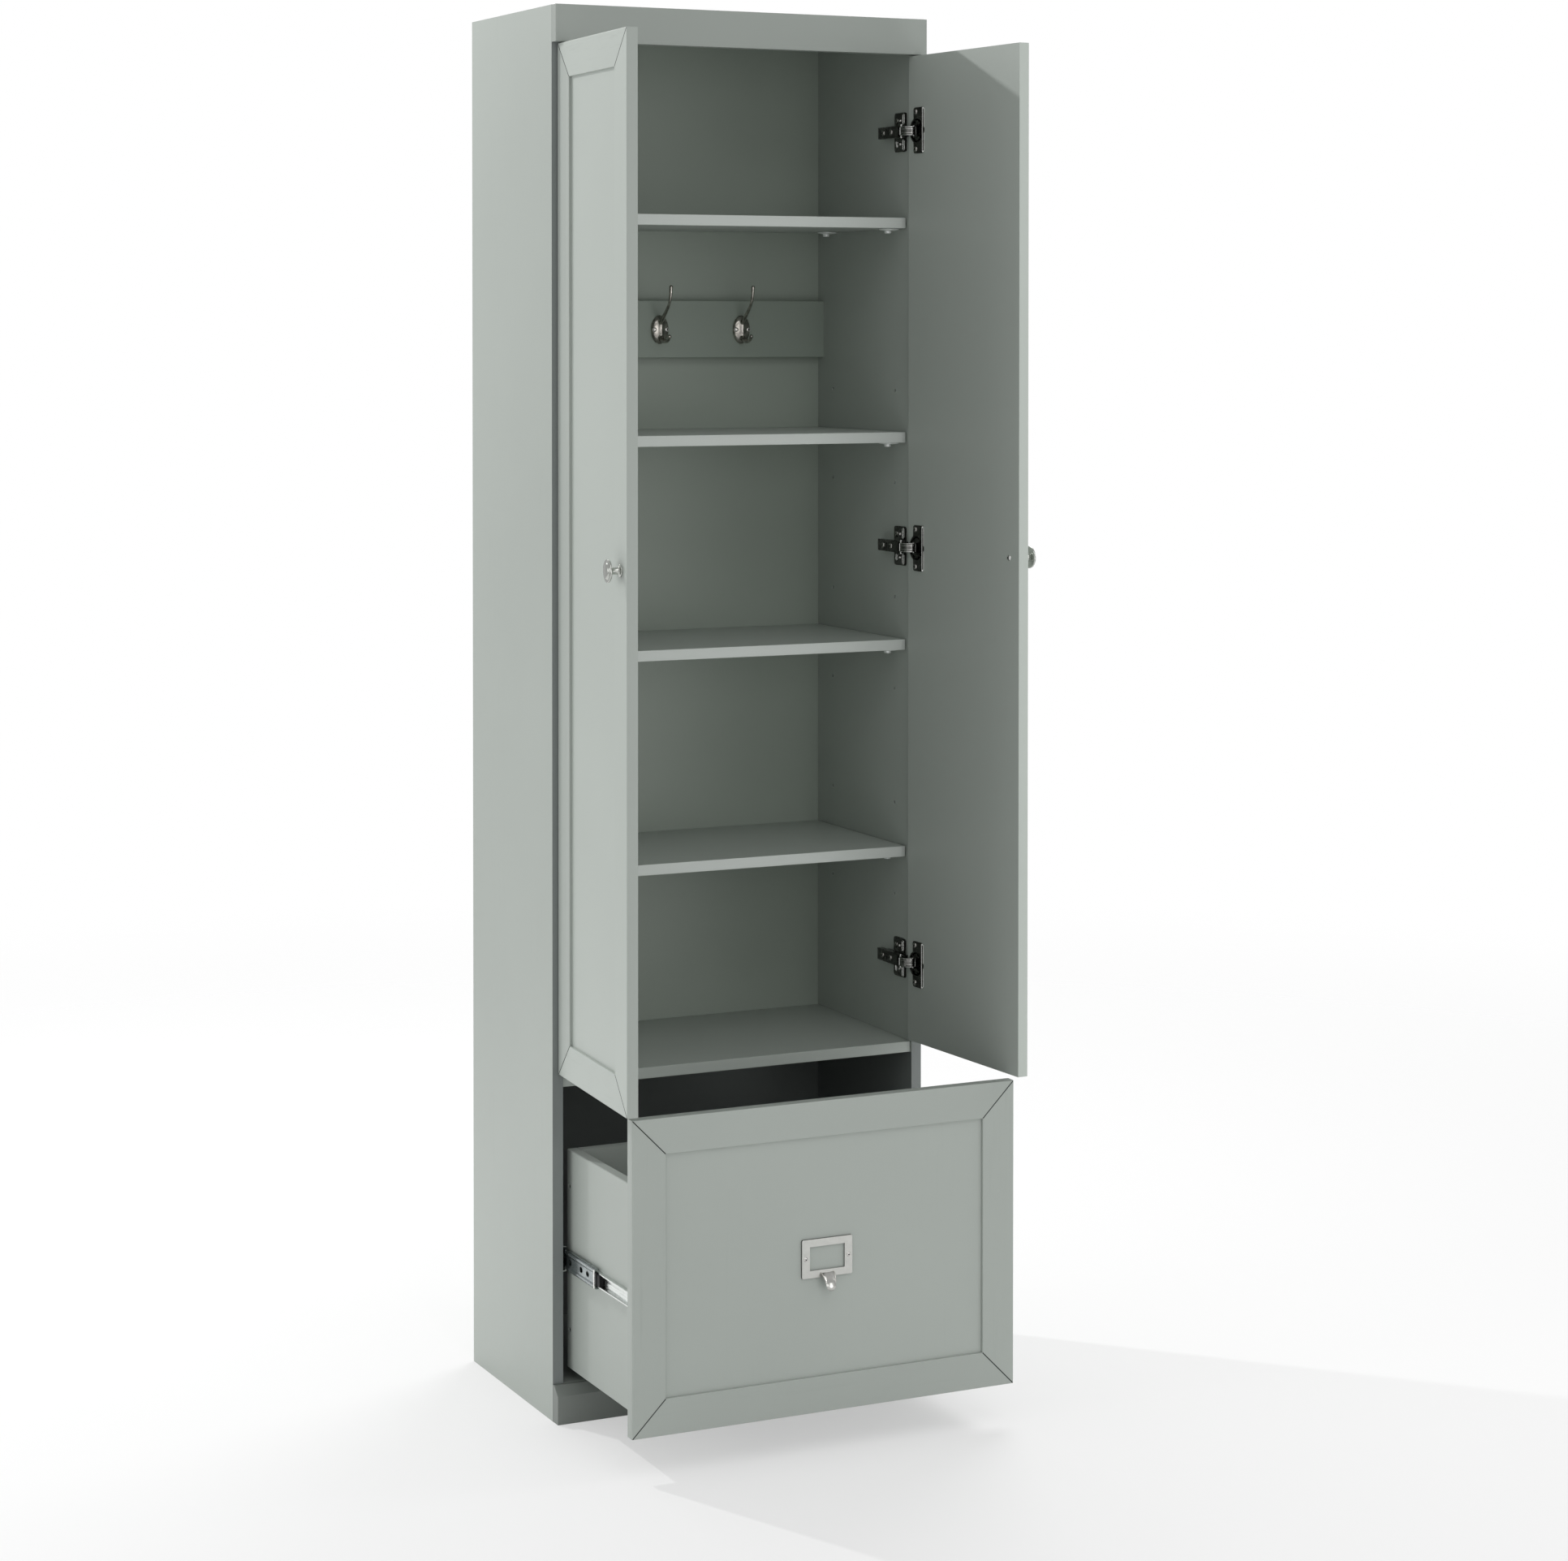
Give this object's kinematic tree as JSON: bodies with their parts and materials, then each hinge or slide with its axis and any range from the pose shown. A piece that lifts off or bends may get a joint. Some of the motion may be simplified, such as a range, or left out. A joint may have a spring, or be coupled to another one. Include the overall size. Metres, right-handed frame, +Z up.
{
  "type": "pantry cabinet",
  "caption": "Tall narrow pantry cupboard with a pair of framed doors over a deep drawer, with shelves, coat hooks and a label-holder pull.",
  "frame": {"origin": "on the floor, at the middle of the plane of the side panels' front edges", "axes": "+X to the viewer's right when facing the doors, +Y to the back, +Z up"},
  "size_m": [0.6232, 0.5778, 1.9],
  "materials": {
    "painted_board": "satin grey-green paint",
    "dark_board": "dark unpainted board",
    "hinge_steel": "dark gunmetal plating",
    "bright_steel": "bright plated steel",
    "slide_zinc": "zinc plating",
    "slide_plastic": "black moulding",
    "cage_steel": "plain steel strip",
    "nickel": "satin nickel",
    "hook_nickel": "dark polished nickel",
    "support_zinc": "bright zinc",
    "screw_steel": "plated steel"
  },
  "bodies": {
    "carcass": {"side_panel_left": "painted_board", "side_panel_right": "painted_board", "top_panel": "painted_board", "cupboard_floor": "painted_board", "bottom_panel": "painted_board", "header_board": "painted_board", "base_board": "painted_board", "drawer_bay_back": "dark_board", "cupboard_back": "painted_board", "shelf_1": "painted_board", "shelf_2": "painted_board", "shelf_3": "painted_board", "shelf_4": "painted_board", "shelf_supports": "support_zinc", "hook_rail": "painted_board", "coat_hooks": "hook_nickel", "hook_screws": "screw_steel", "hinge_plates": "hinge_steel", "plate_screws": "screw_steel", "hinge_arms": "hinge_steel", "arm_screws": "screw_steel", "arm_pins": "bright_steel", "slide_cabinet_members": "slide_zinc", "slide_screws": "screw_steel"},
    "left_links": {"hinge_links_left": "bright_steel"},
    "left_door": {"door_slab_left": "painted_board", "door_stiles_left": "painted_board", "door_rails_left": "painted_board", "hinge_cups_left": "hinge_steel", "cup_screws_left": "screw_steel", "cup_pins_left": "bright_steel", "door_knob_left": "nickel", "knob_screw_left": "screw_steel"},
    "right_links": {"hinge_links_right": "bright_steel"},
    "right_door": {"door_slab_right": "painted_board", "door_stiles_right": "painted_board", "door_rails_right": "painted_board", "hinge_cups_right": "hinge_steel", "cup_screws_right": "screw_steel", "cup_pins_right": "bright_steel", "door_knob_right": "nickel", "knob_screw_right": "screw_steel"},
    "drawer": {"drawer_front_slab": "painted_board", "drawer_front_stiles": "painted_board", "drawer_front_rails": "painted_board", "label_pull": "nickel", "label_screws": "screw_steel", "drawer_side_left": "painted_board", "drawer_side_right": "painted_board", "drawer_box_front": "painted_board", "drawer_box_back": "painted_board", "drawer_bottom": "painted_board", "front_fixing_screws": "screw_steel", "drawer_corner_screws": "screw_steel", "slide_drawer_members": "slide_zinc"},
    "slide_middles": {"slide_middle_members": "slide_zinc", "slide_stops": "slide_plastic"},
    "outer_cages": {"slide_outer_cages": "cage_steel"},
    "inner_cages": {"slide_inner_cages": "cage_steel"}
  },
  "joints": [
    {"name": "left_link_swing", "type": "hinge", "parent": "carcass", "child": "left_links", "pos_m": [-0.25, 0.005, 1.161], "axis": [0, 0, 1], "range_deg": [-36.6, 4.4]},
    {"name": "left_door_swing", "type": "hinge", "parent": "left_links", "child": "left_door", "pos_m": [-0.26007, -0.01303, 1.161], "axis": [0, 0, 1], "range_deg": [-15.27, 130.49]},
    {"name": "right_link_swing", "type": "hinge", "parent": "carcass", "child": "right_links", "pos_m": [0.25, 0.005, 1.161], "axis": [0, 0, -1], "range_deg": [-36.6, 4.4]},
    {"name": "right_door_swing", "type": "hinge", "parent": "right_links", "child": "right_door", "pos_m": [0.26007, -0.01303, 1.161], "axis": [0, 0, -1], "range_deg": [-15.27, 130.49]},
    {"name": "drawer_slide", "type": "slide", "parent": "carcass", "child": "drawer", "axis": [0, 1, 0], "range_m": [0, 0.248]},
    {"name": "slide_middles_travel", "type": "slide", "parent": "carcass", "child": "slide_middles", "axis": [0, 1, 0], "range_m": [0, 0.124]},
    {"name": "outer_cages_travel", "type": "slide", "parent": "carcass", "child": "outer_cages", "axis": [0, 1, 0], "range_m": [0, 0.062]},
    {"name": "inner_cages_travel", "type": "slide", "parent": "carcass", "child": "inner_cages", "axis": [0, 1, 0], "range_m": [0, 0.186]}
  ],
  "couplings": [
    {"joint": "left_link_swing", "follows": "left_door_swing", "ratio": -0.27964},
    {"joint": "right_link_swing", "follows": "right_door_swing", "ratio": -0.27964},
    {"joint": "slide_middles_travel", "follows": "drawer_slide", "ratio": 0.5},
    {"joint": "outer_cages_travel", "follows": "drawer_slide", "ratio": 0.25},
    {"joint": "inner_cages_travel", "follows": "drawer_slide", "ratio": 0.75}
  ]
}
